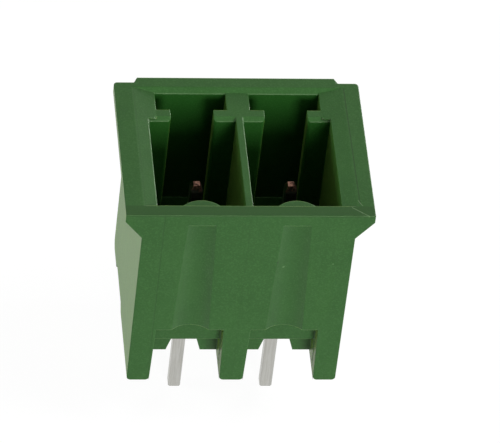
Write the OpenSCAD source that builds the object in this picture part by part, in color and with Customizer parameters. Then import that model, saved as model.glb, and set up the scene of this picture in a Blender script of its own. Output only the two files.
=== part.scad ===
// Two-pole vertical board header of a pluggable terminal block.
// The origin is the middle of the pin row, on the plane of the circuit board.
// +X runs along the pin row, -Y is the grooved front, +Z leads to the open mouth.

/* [Poles] */
// Distance between the two contact pins
pitch = 3.81; // [3.5:0.01:4.2]

/* [Housing] */
// Height of the rim above the board
housing_h = 9.5; // [8.5:0.1:12]
// Front face to the pin row
front_to_pins = 2.7; // [2.5:0.05:3.2]
// Pin row to the rear face
pins_to_rear = 4.85; // [4.7:0.05:5.6]
// End face to the nearest pin
end_to_pin = 2.37; // [2.3:0.01:2.6]
// Thickness of the front wall
front_wall = 0.55; // [0.45:0.05:0.7]
// Thickness of the rear wall
rear_wall = 0.45; // [0.4:0.05:0.6]
// Thickness of the end walls beside the plug space
end_wall = 0.58; // [0.45:0.01:0.65]
// Thickness of the partition between the cells
partition = 0.28; // [0.2:0.02:0.4]
// Height of the cell floor above the board
floor_z = 3.4; // [3.2:0.1:4]

/* [Mouth] */
// How far the flanges at both ends stand out
flange_out = 0.71; // [0.4:0.01:1]
// Height of the upright edge of a flange
flange_edge = 0.38; // [0.2:0.02:0.8]
// Height of the sloping underside of a flange
flange_slope = 0.9; // [0.5:0.05:1.5]
// Drop from the rim to the tops of the partition and the ribs
inner_drop = 0.16; // [0.1:0.02:0.3]
// Depth of the bevel along the inner edge of the rear wall
rear_bevel = 0.2; // [0.18:0.01:0.3]
// Rounding of the outer rear corners of the flanges
flange_round = 0.15; // [0.05:0.05:0.3]

/* [Rear ledge] */
// How far the ledge stands out behind the rear face
ledge_out = 0.28; // [0.15:0.01:0.5]
// Distance from each end face to the end of the ledge
ledge_inset = 0.12; // [0.05:0.01:0.5]
// Height of the upright face of the ledge
ledge_edge = 0.6; // [0.3:0.05:1]
// Height of the sloping underside of the ledge
ledge_slope = 0.45; // [0.3:0.05:1]

/* [Ribs] */
// Opening between the two ribs of a cell
rib_gap = 1.75; // [1.5:0.05:2]
// Thickness of a rib
rib_t = 0.52; // [0.4:0.02:0.7]
// Width of the slot behind the ribs
slot_w = 2.88; // [2.6:0.02:3]
// Depth of the slot behind the ribs
slot_d = 0.96; // [0.7:0.02:1.2]
// Bevel on the upper front edge of a rib
rib_bevel = 0.15; // [0.05:0.01:0.25]
// Rounding of the front corner at the tip of a rib
rib_round = 0.12; // [0.05:0.01:0.2]

/* [Front wall] */
// Radius of the groove at its roof
groove_top_r = 0.94; // [0.9:0.01:1]
// Radius of the groove at the board
groove_foot_r = 1.12; // [1:0.01:1.2]
// Distance of the groove's axis in front of the wall
groove_axis_out = 0.75; // [0.7:0.01:0.85]
// Distance from the rim to the roof of the groove
groove_roof_drop = 0.58; // [0.4:0.02:1]
// Radius of the boss inside the front wall
boss_r = 1.05; // [0.9:0.01:1.15]
// Distance from the rim to the top of the boss
boss_drop = 0.2; // [0.17:0.01:0.35]

/* [Feet] */
// Thickness of the middle foot where it meets the body
mid_foot_t = 1.1; // [0.9:0.02:1.3]
// Thickness of an end foot where it meets the body
end_foot_t = 0.98; // [0.8:0.02:1.1]
// How much each free side of a foot tapers in down to the board
foot_taper = 0.07; // [0:0.01:0.12]
// Rounding of the lower edges of the feet
foot_round = 0.16; // [0.05:0.01:0.25]
// Height of the front wall's lower edge above the board
wall_foot_z = 2.93; // [2.5:0.05:3]
// Depth of the step below the front wall
foot_step = 0.6; // [0.4:0.05:0.8]
// Height of the underside of the body above the board
under_z = 1.78; // [1.5:0.02:2.2]
// Height of the relief under the rear half of the feet
relief_h = 0.45; // [0.2:0.05:0.8]
// Bevel on the lower rear corner of the feet
foot_rear_bevel = 0.4; // [0.2:0.05:0.6]

/* [Pin seats] */
// Front face of a pin seat to the pin row
seat_front = 1.35; // [1:0.05:1.6]
// Rear face of a pin seat to the pin row
seat_rear = 1.2; // [0.8:0.05:1.6]
// Height of a pin seat's lower face above the board
seat_z = 0.36; // [0.2:0.02:0.6]
// Width of the solder channel at the lower face of a pin seat
channel_w = 1.4; // [1.2:0.02:1.6]
// Width of the solder channel at its roof
channel_top_w = 0.9; // [0.8:0.02:1.1]
// Height of the solder channel's roof above the board
channel_z = 1.25; // [1:0.05:1.5]

/* [Contact pins] */
// Side of the square wire of a pin
pin_w = 0.5; // [0.4:0.02:0.64]
// Bevel along the four edges of a pin
pin_edge = 0.06; // [0.02:0.01:0.1]
// Length of the solder tail below the board plane
tail_len = 3; // [2.5:0.1:3.5]
// Distance from the rim down to the tip of a pin
tip_drop = 0.9; // [0.6:0.05:2]
// Height of the bevelled tip of a pin
tip_bevel_h = 0.3; // [0.1:0.05:0.5]
// Inset of the bevelled tip of a pin on each side
tip_bevel = 0.12; // [0.05:0.01:0.15]
// Gap on each side between a pin and its hole
pin_clearance = 0.01; // [0:0.01:0.05]

/* [Hidden] */
$fn = 64;
overcut = 0.5;

pin_x = pitch / 2;
body_x = pin_x + end_to_pin;
front_y = -front_to_pins;
rear_y = pins_to_rear;
depth = rear_y - front_y;

// Inner faces of the cells
cell_front_y = front_y + front_wall;
cell_rear_y = rear_y - rear_wall;
rib_rear_y = cell_rear_y - slot_d;
rib_front_y = rib_rear_y - rib_t;
cell_mid_x = partition / 2;
cell_end_x = body_x - end_wall;
slot_end_x = pin_x + slot_w / 2;
inner_top = housing_h - inner_drop;

// Groove radius changes evenly from the board to the roof
groove_h = housing_h - groove_roof_drop;

// Relief under the feet runs between these two distances from the rear face
relief_near = 1.2;
relief_far = 3.6;
relief_ramp = relief_h;

// Extrudes an outline drawn in X and Z along Y, from y0 to y1
module along_y(y0, y1) {
    translate([0, y1, 0]) rotate([90, 0, 0]) linear_extrude(y1 - y0) children();
}

// Extrudes an outline drawn in Y and Z along X, from x0 to x1
module along_x(x0, x1) {
    translate([x0, 0, 0]) rotate([90, 0, 90]) linear_extrude(x1 - x0) children();
}

// Draws the children on the right and mirrored on the left
module both_ends() {
    for (side = [0, 1]) mirror([side, 0, 0]) children();
}

// Waste outside a rounded corner whose point lies at the origin
module corner_waste(r) {
    difference() {
        translate([-overcut, -overcut]) square(r + overcut);
        translate([r, r]) circle(r);
        translate([r, -overcut]) square([overcut, overcut + r]);
        translate([-overcut, r]) square([overcut + r, overcut]);
    }
}

// Solid block of the housing
module body_block() {
    translate([-body_x, front_y, 0]) cube([2 * body_x, depth, housing_h]);
}

// Flange at the right end of the mouth
module flange() {
    difference() {
        along_y(front_y, rear_y)
            polygon([
                [body_x - end_wall, housing_h],
                [body_x + flange_out, housing_h],
                [body_x + flange_out, housing_h - flange_edge],
                [body_x, housing_h - flange_edge - flange_slope],
                [body_x - end_wall, housing_h - flange_edge - flange_slope],
            ]);
        translate([body_x + flange_out, rear_y, 0])
            rotate([0, 0, 180])
                linear_extrude(housing_h + overcut) corner_waste(flange_round);
    }
}

// Ledge along the top of the rear face
module ledge() {
    ledge_x = body_x - ledge_inset;
    intersection() {
        translate([0, 0, housing_h - ledge_edge - ledge_slope])
            linear_extrude(ledge_edge + ledge_slope)
                polygon([
                    [-ledge_x, rear_y - rear_wall],
                    [ledge_x, rear_y - rear_wall],
                    [ledge_x, rear_y],
                    [ledge_x - ledge_out / 2, rear_y + ledge_out],
                    [-ledge_x + ledge_out / 2, rear_y + ledge_out],
                    [-ledge_x, rear_y],
                ]);
        along_x(-body_x, body_x)
            polygon([
                [rear_y - rear_wall, housing_h],
                [rear_y + ledge_out, housing_h],
                [rear_y + ledge_out, housing_h - ledge_edge],
                [rear_y, housing_h - ledge_edge - ledge_slope],
                [rear_y - rear_wall, housing_h - ledge_edge - ledge_slope],
            ]);
    }
}

// Outline of the right cell, seen from above
module cell_outline() {
    gap_x = rib_gap / 2;
    slot_x = slot_w / 2;
    polygon([
        [cell_mid_x, cell_front_y],
        [cell_end_x, cell_front_y],
        [cell_end_x, rib_front_y],
        [pin_x + gap_x, rib_front_y],
        [pin_x + gap_x, rib_rear_y],
        [pin_x + slot_x, rib_rear_y],
        [pin_x + slot_x, cell_rear_y],
        [pin_x - slot_x, cell_rear_y],
        [pin_x - slot_x, rib_rear_y],
        [pin_x - gap_x, rib_rear_y],
        [pin_x - gap_x, rib_front_y],
        [cell_mid_x, rib_front_y],
    ]);
    for (side = [0, 1])
        translate([pin_x, rib_front_y])
            mirror([side, 0])
                translate([gap_x, 0])
                    difference() {
                        translate([-overcut / 2, -overcut / 2]) square(rib_round + overcut / 2);
                        translate([rib_round, rib_round]) circle(rib_round);
                    }
}

// Hollow of the right cell, with the boss left standing on the front wall
module cell() {
    difference() {
        translate([0, 0, floor_z]) linear_extrude(housing_h) cell_outline();
        translate([pin_x, front_y, 0]) cylinder(h = housing_h - boss_drop, r = boss_r);
    }
    // Bevel on the upper front edges of the ribs
    along_x(cell_mid_x, cell_end_x)
        polygon([
            [rib_front_y, inner_top - rib_bevel],
            [rib_front_y + rib_bevel, inner_top],
            [rib_front_y, inner_top],
        ]);
    // Bevel along the rear wall
    along_x(pin_x - slot_w / 2, slot_end_x)
        polygon([
            [cell_rear_y - overcut, housing_h - rear_bevel],
            [cell_rear_y, housing_h - rear_bevel],
            [cell_rear_y + rear_bevel, housing_h],
            [cell_rear_y - overcut, housing_h],
        ]);
}

// Shallow funnel around both cells: its ends and its rear slope down to the inner tops
module lead_in() {
    intersection() {
        along_y(cell_front_y, rear_y)
            polygon([
                [-body_x, housing_h],
                [-slot_end_x, inner_top],
                [slot_end_x, inner_top],
                [body_x, housing_h],
                [body_x, housing_h + overcut],
                [-body_x, housing_h + overcut],
            ]);
        along_x(-body_x, body_x)
            polygon([
                [cell_front_y, inner_top],
                [cell_rear_y + rear_bevel - inner_drop, inner_top],
                [cell_rear_y + rear_bevel, housing_h],
                [cell_rear_y + rear_bevel, housing_h + overcut],
                [cell_front_y, housing_h + overcut],
            ]);
    }
}

// Groove down the front wall, before the right cell
module groove() {
    translate([pin_x, front_y - groove_axis_out, 0])
        cylinder(h = groove_h, r1 = groove_foot_r, r2 = groove_top_r);
}

// Space between the middle foot and the right foot, up to height z
module foot_space(y0, y1, z) {
    mid_x = mid_foot_t / 2;
    end_x = body_x - end_foot_t;
    along_y(y0, y1)
        polygon([
            [mid_x - foot_taper, 0],
            [mid_x, z],
            [end_x, z],
            [end_x + foot_taper, 0],
        ]);
}

// Block that holds the right pin, with the solder channel open below
module pin_seat() {
    difference() {
        translate([mid_foot_t / 2 - foot_taper, -seat_front, seat_z])
            cube([body_x - end_foot_t - mid_foot_t / 2 + 2 * foot_taper, seat_front + seat_rear, under_z]);
        along_y(-seat_front - overcut, seat_rear + overcut)
            translate([pin_x, 0])
                polygon([
                    [-channel_w / 2, seat_z],
                    [-channel_top_w / 2, channel_z],
                    [channel_top_w / 2, channel_z],
                    [channel_w / 2, seat_z],
                ]);
    }
}

// Everything open below the right cell
module underside() {
    foot_space(front_y - overcut, front_y + foot_step, wall_foot_z);
    difference() {
        foot_space(front_y - overcut, rear_y + overcut, under_z);
        pin_seat();
    }
}

// Relief and bevel under the rear half of all three feet
module foot_reliefs() {
    along_x(-body_x - overcut, body_x + overcut) {
        polygon([
            [rear_y - relief_far - relief_ramp, 0],
            [rear_y - relief_far, relief_h],
            [rear_y - relief_near - relief_ramp / 2, relief_h],
            [rear_y - relief_near, 0],
        ]);
        polygon([
            [rear_y - foot_rear_bevel, 0],
            [rear_y, foot_rear_bevel],
            [rear_y, 0],
        ]);
    }
}

// Waste outside the rounded lower edges of the feet, right half
module foot_rounding() {
    mid_x = mid_foot_t / 2 - foot_taper;
    end_x = body_x - end_foot_t + foot_taper;
    along_y(front_y - overcut, rear_y + overcut) {
        translate([mid_x, 0]) mirror([1, 0]) foot_corner();
        translate([end_x, 0]) foot_corner();
        translate([body_x, 0]) mirror([1, 0]) foot_corner();
    }
}

// Small piece of waste at one lower edge of a foot
module foot_corner() {
    difference() {
        square(foot_round);
        translate([foot_round, foot_round]) circle(foot_round);
    }
}

// Section of a pin, widened on each side by a gap
module pin_section(gap) {
    half = pin_w / 2 + gap;
    cut = half - pin_edge;
    polygon([
        [half, -cut], [half, cut], [cut, half], [-cut, half],
        [-half, cut], [-half, -cut], [-cut, -half], [cut, -half],
    ]);
}

module housing() {
    color("seagreen")
        difference() {
            union() {
                body_block();
                both_ends() flange();
                ledge();
            }
            lead_in();
            foot_reliefs();
            both_ends() {
                cell();
                groove();
                underside();
                foot_rounding();
                translate([pin_x, 0, 0]) linear_extrude(housing_h) pin_section(pin_clearance);
            }
        }
}

// One pin, from its solder tail to its bevelled tip
module contact_pin(x) {
    tip_z = housing_h - tip_drop;
    color("silver")
        translate([x, 0, 0])
            difference() {
                translate([0, 0, -tail_len]) linear_extrude(tip_z + tail_len) pin_section(0);
                for (turn = [0:90:270])
                    rotate([0, 0, turn])
                        along_x(-pin_w, pin_w)
                            polygon([
                                [pin_w / 2 - tip_bevel, tip_z],
                                [pin_w / 2, tip_z - tip_bevel_h],
                                [pin_w, tip_z - tip_bevel_h],
                                [pin_w, tip_z],
                            ]);
            }
}

module contact_pin_1() { contact_pin(-pin_x); }
module contact_pin_2() { contact_pin(pin_x); }

housing();
contact_pin_1();
contact_pin_2();
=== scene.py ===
"""Two-way board header of a pluggable terminal block, on a white table.

The housing is green moulded polyamide, the two contact pins are tinned copper wire.
Metres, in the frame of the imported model: origin on the board plane, +X along the pin row,
-Y to the grooved front, +Z up.
"""

import math

import bpy
from mathutils import Matrix, Vector


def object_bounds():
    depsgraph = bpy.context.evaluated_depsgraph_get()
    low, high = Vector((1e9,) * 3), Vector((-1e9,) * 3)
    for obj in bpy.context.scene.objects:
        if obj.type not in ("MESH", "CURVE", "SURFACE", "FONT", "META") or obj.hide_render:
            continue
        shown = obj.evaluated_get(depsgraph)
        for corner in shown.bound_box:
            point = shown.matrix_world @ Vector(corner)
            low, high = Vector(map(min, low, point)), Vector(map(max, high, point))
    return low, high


MM = 0.001
WHITE = (1.0, 1.0, 1.0, 1.0)
TABLE_SIZE = 6.0
TABLE_GAP = 0.0002 * MM
LAMP_DISTANCE = 0.6
LAMP_AIM = 4.0 * MM

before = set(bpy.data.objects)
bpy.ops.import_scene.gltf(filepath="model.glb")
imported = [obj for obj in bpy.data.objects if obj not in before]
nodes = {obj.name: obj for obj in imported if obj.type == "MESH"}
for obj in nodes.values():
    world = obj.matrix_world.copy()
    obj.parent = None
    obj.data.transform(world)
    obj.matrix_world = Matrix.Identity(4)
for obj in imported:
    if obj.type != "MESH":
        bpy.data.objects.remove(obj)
cad_low, cad_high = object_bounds()
scene = bpy.context.scene


# ---------------------------------------------------------------- camera
def camera_axes(azimuth, elevation, roll):
    """Camera x, y and z axes for a view from this direction, in degrees."""
    a, e, r = (math.radians(v) for v in (azimuth, elevation, roll))
    back = Vector((-math.sin(a) * math.cos(e), -math.cos(a) * math.cos(e), math.sin(e)))
    level = Vector((math.cos(a), -math.sin(a), 0.0))
    rise = back.cross(level)
    side = level * math.cos(r) + rise * math.sin(r)
    return side, back.cross(side), back


def add_camera():
    side, rise, back = camera_axes(9.872, 45.0, 7.211)
    aim = (side * 1.0046 + rise * 4.5156) * MM
    data = bpy.data.cameras.new("camera")
    data.sensor_fit = "HORIZONTAL"
    data.sensor_width = 36.0
    data.lens = 434.2
    data.clip_start = 0.01
    data.clip_end = 20.0
    cam = bpy.data.objects.new("camera", data)
    place = Matrix((side, rise, back)).transposed().to_4x4()
    place.translation = aim + back * 247.475 * MM
    cam.matrix_world = place
    scene.collection.objects.link(cam)
    scene.camera = cam


# ---------------------------------------------------------------- node helpers
def opaque(value):
    """Adds the alpha that a colour socket wants to a plain colour."""
    return (*value, 1.0) if isinstance(value, tuple) else value


class Tree:
    """A short hand for building a node tree: values may be numbers, tuples or sockets."""

    def __init__(self, tree):
        self.tree = tree
        tree.nodes.clear()

    def put(self, socket, value):
        if isinstance(value, bpy.types.NodeSocket):
            self.tree.links.new(value, socket)
        else:
            socket.default_value = value

    def node(self, kind, inputs=None, **settings):
        made = self.tree.nodes.new(kind)
        for key, value in settings.items():
            setattr(made, key, value)
        for key, value in (inputs or {}).items():
            self.put(made.inputs[key], value)
        return made

    def math(self, operation, *values):
        made = self.node("ShaderNodeMath", operation=operation)
        for index, value in enumerate(values):
            self.put(made.inputs[index], value)
        return made.outputs[0]

    def mix(self, factor, a, b):
        """From colour a to colour b; a plain colour is three numbers."""
        made = self.node("ShaderNodeMix", data_type="RGBA")
        for name, value in (("Factor_Float", factor), ("A_Color", a), ("B_Color", b)):
            self.put(next(s for s in made.inputs if s.identifier == name), opaque(value))
        return next(s for s in made.outputs if s.identifier == "Result_Color")

    def step(self, value, low, high, to_low=0.0, to_high=1.0):
        made = self.node(
            "ShaderNodeMapRange",
            {
                "Value": value,
                "From Min": low,
                "From Max": high,
                "To Min": to_low,
                "To Max": to_high,
            },
            interpolation_type="SMOOTHSTEP",
        )
        return made.outputs["Result"]

    def place(self):
        """Object coordinates in millimetres, as a vector and as x, y and z."""
        coords = self.node("ShaderNodeTexCoord").outputs["Object"]
        scaled = self.node(
            "ShaderNodeVectorMath", {0: coords, "Scale": 1.0 / MM}, operation="SCALE"
        )
        parts = self.node("ShaderNodeSeparateXYZ", {0: scaled.outputs[0]})
        return scaled.outputs[0], parts.outputs[0], parts.outputs[1], parts.outputs[2]

    def noise(self, vector, per_mm, detail=2.0, roughness=0.5, stretch=None, shift=(0.0, 0.0, 0.0)):
        moved = self.node(
            "ShaderNodeMapping",
            {"Vector": vector, "Location": shift, "Scale": stretch or (1.0, 1.0, 1.0)},
        )
        made = self.node(
            "ShaderNodeTexNoise",
            {"Vector": moved.outputs[0], "Scale": per_mm, "Detail": detail, "Roughness": roughness},
        )
        return made.outputs["Fac"]

    def near(self, value, centre, half, soft):
        """1 where value is within half of centre, falling to 0 over soft."""
        off = self.math("ABSOLUTE", self.math("SUBTRACT", value, centre))
        return self.step(off, half, half + soft, 1.0, 0.0)

    def stroke(self, x, y, start, end, half, soft):
        """1 along a straight scratch from start to end, in the plane of x and y."""
        (ax, ay), (bx, by) = start, end
        length = math.hypot(bx - ax, by - ay)
        ux, uy = (bx - ax) / length, (by - ay) / length
        px = self.math("SUBTRACT", x, ax)
        py = self.math("SUBTRACT", y, ay)
        along = self.math("ADD", self.math("MULTIPLY", px, ux), self.math("MULTIPLY", py, uy))
        aside = self.math("SUBTRACT", self.math("MULTIPLY", px, uy), self.math("MULTIPLY", py, ux))
        inside = self.near(along, length / 2, length / 2 - soft, soft)
        return self.math("MULTIPLY", self.near(aside, 0.0, half, soft), inside)

    def speck(self, vector, centre, radius, soft):
        """1 within radius of centre, falling to 0 over soft."""
        away = self.node("ShaderNodeVectorMath", {0: vector, 1: centre}, operation="DISTANCE")
        return self.step(away.outputs["Value"], radius, radius + soft, 1.0, 0.0)

    def bump(self, height, strength, depth, normal, **settings):
        """The normal bent by height, where a height of 1 is depth millimetres."""
        inputs = {"Height": height, "Strength": strength, "Distance": depth * MM, "Normal": normal}
        return self.node("ShaderNodeBump", inputs, **settings).outputs[0]

    def seen(self):
        """1 for rays that look at the background, straight or through gloss or glass."""
        path = self.node("ShaderNodeLightPath").outputs
        straight_or_gloss = self.math("MAXIMUM", path["Is Camera Ray"], path["Is Glossy Ray"])
        return self.math("MAXIMUM", straight_or_gloss, path["Is Transmission Ray"])

    def choose(self, factor, a, b):
        """Shader a, or shader b where factor is 1."""
        return self.node("ShaderNodeMixShader", {0: factor, 1: a, 2: b}).outputs[0]


def new_material(name):
    made = bpy.data.materials.new(name)
    made.use_nodes = True
    return made, Tree(made.node_tree)


# ---------------------------------------------------------------- moulded green polyamide
def green_moulding():
    made, t = new_material("green_moulding")
    vector, x, y, z = t.place()

    # rounded mould edges: the softened normal departs from the flat one only along an edge
    edge = t.node("ShaderNodeBevel", {"Radius": 0.07 * MM}, samples=12).outputs[0]
    flat = t.node("ShaderNodeNewGeometry").outputs["True Normal"]
    bend = t.node("ShaderNodeVectorMath", {0: edge, 1: flat}, operation="DOT_PRODUCT")
    # mask of the rounded edges, used for a painted highlight
    edge_highlight_paint = t.step(bend.outputs["Value"], 0.995, 0.80)

    # colour: pigment clouds, fine speckle of the glass filling, flow marks under the skin
    clouds = t.noise(vector, 0.55, 3.0, 0.55)
    speckle = t.noise(vector, 15.0, 2.0, 0.6)
    flow = t.noise(vector, 1.1, 3.0, 0.5, stretch=(1.0, 1.0, 0.22), shift=(3.1, 0.4, 7.0))
    tone = t.mix(t.step(clouds, 0.30, 0.70), (0.0095, 0.068, 0.0075), (0.0135, 0.079, 0.0105))
    tone = t.mix(t.step(flow, 0.45, 0.75, 0.0, 0.30), tone, (0.020, 0.098, 0.012))
    tone = t.mix(t.step(speckle, 0.45, 0.75, 0.0, 0.85), tone, (0.026, 0.108, 0.020))
    tone = t.mix(t.step(speckle, 0.48, 0.26, 0.0, 0.75), tone, (0.008, 0.070, 0.004))

    # knit lines where the melt fronts met on the front wall, straight above two gate paths
    front = t.step(y, -2.52, -2.62)
    knit = t.math("MULTIPLY", t.near(x, -3.43, 0.010, 0.035), front)
    knit_mid = t.math("MULTIPLY", t.near(x, 0.02, 0.008, 0.045), front)
    tone = t.mix(t.math("MULTIPLY", knit, 0.45), tone, (0.006, 0.050, 0.004))
    tone = t.mix(t.math("MULTIPLY", knit_mid, 0.20), tone, (0.006, 0.050, 0.004))

    # small handling marks
    top = t.step(z, 9.40, 9.47)
    hair = t.stroke(x, y, (4.06, -2.20), (4.88, -2.82), 0.007, 0.022)
    nick = t.stroke(x, y, (4.34, -1.79), (4.51, -2.13), 0.006, 0.020)
    marks = t.math("MULTIPLY", t.math("MAXIMUM", hair, t.math("MULTIPLY", nick, 0.8)), top)
    wall = t.node("ShaderNodeCombineXYZ", {"X": x, "Z": z}).outputs[0]
    grooved = t.step(y, -2.00, -2.20)
    chip = t.math("MULTIPLY", t.speck(wall, (1.58, 0.0, 6.42), 0.030, 0.040), grooved)
    fleck = t.math("MULTIPLY", t.speck(wall, (3.53, 0.0, 6.77), 0.020, 0.035), grooved)
    # a small dark speck on the front wall
    dark_speck = t.math("MULTIPLY", t.speck(wall, (1.30, 0.0, 6.82), 0.025, 0.035), grooved)
    pale = t.math("MAXIMUM", marks, t.math("MAXIMUM", chip, t.math("MULTIPLY", fleck, 0.7)))

    # dark hairlines along the two end rims, fainter on the left, and a darker front rim, which is
    # painted shade
    dark_line_right = t.stroke(x, y, (4.36, 4.60), (4.41, -2.05), 0.008, 0.030)
    dark_line_left = t.stroke(x, y, (-4.20, 4.50), (-4.17, -2.00), 0.006, 0.030)
    dark_lines = t.math("MAXIMUM", dark_line_right, t.math("MULTIPLY", dark_line_left, 0.35))
    rim_dark_lines = t.math("MULTIPLY", dark_lines, t.step(z, 9.20, 9.30))
    tone = t.mix(t.math("MULTIPLY", rim_dark_lines, 0.70), tone, (0.005, 0.030, 0.004))
    # painted shade: the flat top of the front wall is darkened
    front_rim_shade_paint = t.math("MULTIPLY", t.step(y, -2.10, -2.20), t.step(z, 9.40, 9.47))
    tone = t.mix(t.math("MULTIPLY", front_rim_shade_paint, 0.75), tone, (0.006, 0.048, 0.004))
    tone = t.mix(t.math("MULTIPLY", pale, 0.55), tone, (0.13, 0.24, 0.10))
    tone = t.mix(t.math("MULTIPLY", dark_speck, 0.85), tone, (0.004, 0.030, 0.003))
    # painted highlight: paler along the rounded edges
    tone = t.mix(t.math("MULTIPLY", edge_highlight_paint, 0.40), tone, (0.050, 0.180, 0.036))

    # surface: spark-eroded mould grain, slight waviness, softened edges
    grain = t.noise(vector, 22.0, 3.0, 0.62)
    wave = t.noise(vector, 1.6, 2.0, 0.5)
    scratched = t.math("ADD", marks, t.math("MULTIPLY", knit, 0.6))
    normal = t.bump(grain, 0.28, 0.004, edge)
    normal = t.bump(wave, 0.30, 0.03, normal)
    normal = t.bump(scratched, 0.5, 0.012, normal, invert=True)
    gloss = t.step(grain, 0.25, 0.75, 0.33, 0.45)

    skin = t.node(
        "ShaderNodeBsdfPrincipled",
        {
            "Base Color": tone,
            "Roughness": gloss,
            "IOR": 1.53,
            "Specular IOR Level": 0.34,
            "Specular Tint": (0.86, 1.0, 0.72, 1.0),
            "Sheen Weight": 0.50,
            "Sheen Roughness": 0.28,
            "Sheen Tint": (0.62, 1.0, 0.18, 1.0),
            "Normal": normal,
        },
    )
    t.node("ShaderNodeOutputMaterial", {"Surface": skin.outputs[0]})
    return made


# ---------------------------------------------------------------- tinned contact wire
def tinned_copper():
    made, t = new_material("tinned_copper")
    vector, _, _, z = t.place()
    edge = t.node("ShaderNodeBevel", {"Radius": 0.035 * MM}, samples=8).outputs[0]

    # drawn wire: fine streaks along the pin, faint cloudiness of the tin
    drawn = t.noise(vector, 1.0, 4.0, 0.65, stretch=(16.0, 16.0, 0.55))
    fine = t.noise(vector, 1.0, 2.0, 0.6, stretch=(42.0, 42.0, 1.4), shift=(2.0, 5.0, 1.0))
    cloud = t.noise(vector, 2.6, 3.0, 0.55)
    tin = t.mix(t.step(drawn, 0.30, 0.72), (0.40, 0.395, 0.365), (0.50, 0.50, 0.47))
    tin = t.mix(t.step(fine, 0.52, 0.80, 0.0, 0.5), tin, (0.56, 0.56, 0.54))
    tin = t.mix(t.step(cloud, 0.45, 0.80, 0.0, 0.35), tin, (0.38, 0.37, 0.33))
    # the plug end in the cell is darkened, a painted shade of the cell, and its cropped tip shows
    # the copper under the tin
    cell_shade_paint = t.step(z, 3.2, 4.4)
    tin = t.mix(cell_shade_paint, tin, (0.085, 0.080, 0.066))
    torn = t.noise(vector, 4.5, 2.0, 0.6, shift=(0.4, 1.3, 2.2))
    copper = t.mix(t.step(torn, 0.42, 0.60), (0.035, 0.018, 0.012), (0.19, 0.098, 0.070))
    bare = t.step(t.math("ADD", z, t.math("MULTIPLY", torn, 0.5)), 8.55, 8.75)
    tone = t.mix(bare, tin, copper)

    height = t.math("ADD", drawn, t.math("MULTIPLY", fine, 0.5))
    normal = t.bump(height, 0.35, 0.010, edge)
    gloss = t.step(cloud, 0.30, 0.70, 0.30, 0.42)
    skin = t.node(
        "ShaderNodeBsdfPrincipled",
        {"Base Color": tone, "Metallic": 1.0, "Roughness": gloss, "Normal": normal},
    )
    t.node("ShaderNodeOutputMaterial", {"Surface": skin.outputs[0]})
    return made


# ---------------------------------------------------------------- white table and light
def add_table():
    """A pale table at the tail tips: white to the eye and in reflections, with a soft shadow."""
    half = TABLE_SIZE / 2
    z = cad_low.z - TABLE_GAP
    corners = [(-half, -half, z), (half, -half, z), (half, half, z), (-half, half, z)]
    mesh = bpy.data.meshes.new("table")
    mesh.from_pydata(corners, [], [(0, 1, 2, 3)])
    table = bpy.data.objects.new("table", mesh)
    scene.collection.objects.link(table)
    made, t = new_material("white_table")
    vector = t.place()[0]
    paper = t.mix(t.noise(vector, 0.02, 3.0), (0.74, 0.74, 0.73), (0.78, 0.78, 0.77))
    matt = t.node("ShaderNodeBsdfDiffuse", {"Color": paper}).outputs[0]
    white = t.node("ShaderNodeEmission", {"Color": WHITE, "Strength": 0.94}).outputs[0]
    faint = t.node("ShaderNodeBsdfDiffuse", {"Color": (0.10, 0.10, 0.10, 1.0)}).outputs[0]
    shown = t.node("ShaderNodeAddShader", {0: white, 1: faint}).outputs[0]
    # seen from below the table is clear, so that the underside shows
    below = t.node("ShaderNodeNewGeometry").outputs["Backfacing"]
    clear = t.node("ShaderNodeBsdfTransparent").outputs[0]
    surface = t.choose(below, t.choose(t.seen(), matt, shown), clear)
    t.node("ShaderNodeOutputMaterial", {"Surface": surface})
    mesh.materials.append(made)


def add_world():
    world = bpy.data.worlds.new("studio")
    scene.world = world
    world.use_nodes = True
    t = Tree(world.node_tree)
    soft = t.node("ShaderNodeBackground", {"Color": WHITE, "Strength": 0.13}).outputs[0]
    white = t.node("ShaderNodeBackground", {"Color": WHITE, "Strength": 1.0}).outputs[0]
    t.node("ShaderNodeOutputWorld", {"Surface": t.choose(t.seen(), soft, white)})


def add_softbox(name, azimuth, elevation, size, level):
    """A square softbox; level 1 lights a white surface that faces it to white."""
    side, rise, back = camera_axes(azimuth, elevation, 0.0)
    data = bpy.data.lights.new(name, "AREA")
    data.shape = "SQUARE"
    data.size = size
    data.energy = level * math.pi**2 * LAMP_DISTANCE**2
    lamp = bpy.data.objects.new(name, data)
    place = Matrix((side, rise, back)).transposed().to_4x4()
    place.translation = Vector((0.0, 0.0, LAMP_AIM)) + back * LAMP_DISTANCE
    lamp.matrix_world = place
    scene.collection.objects.link(lamp)


# ---------------------------------------------------------------- assembly
def dress(name, material):
    slots = nodes[name].data.materials
    if not slots:
        slots.append(material)
    for index in range(len(slots)):
        slots[index] = material


dress("housing", green_moulding())
metal = tinned_copper()
for pin in ("contact_pin_1", "contact_pin_2"):
    dress(pin, metal)

add_camera()
add_table()
add_world()
add_softbox("front", -14.0, 12.0, 0.20, 0.77)
add_softbox("left", 98.0, 4.0, 0.20, 0.90)
add_softbox("right", -90.0, 5.0, 0.20, 0.40)
add_softbox("rear", -142.0, 6.0, 0.20, 0.55)
add_softbox("top", -80.0, 56.0, 0.26, 0.46)

scene.view_settings.view_transform = "Standard"
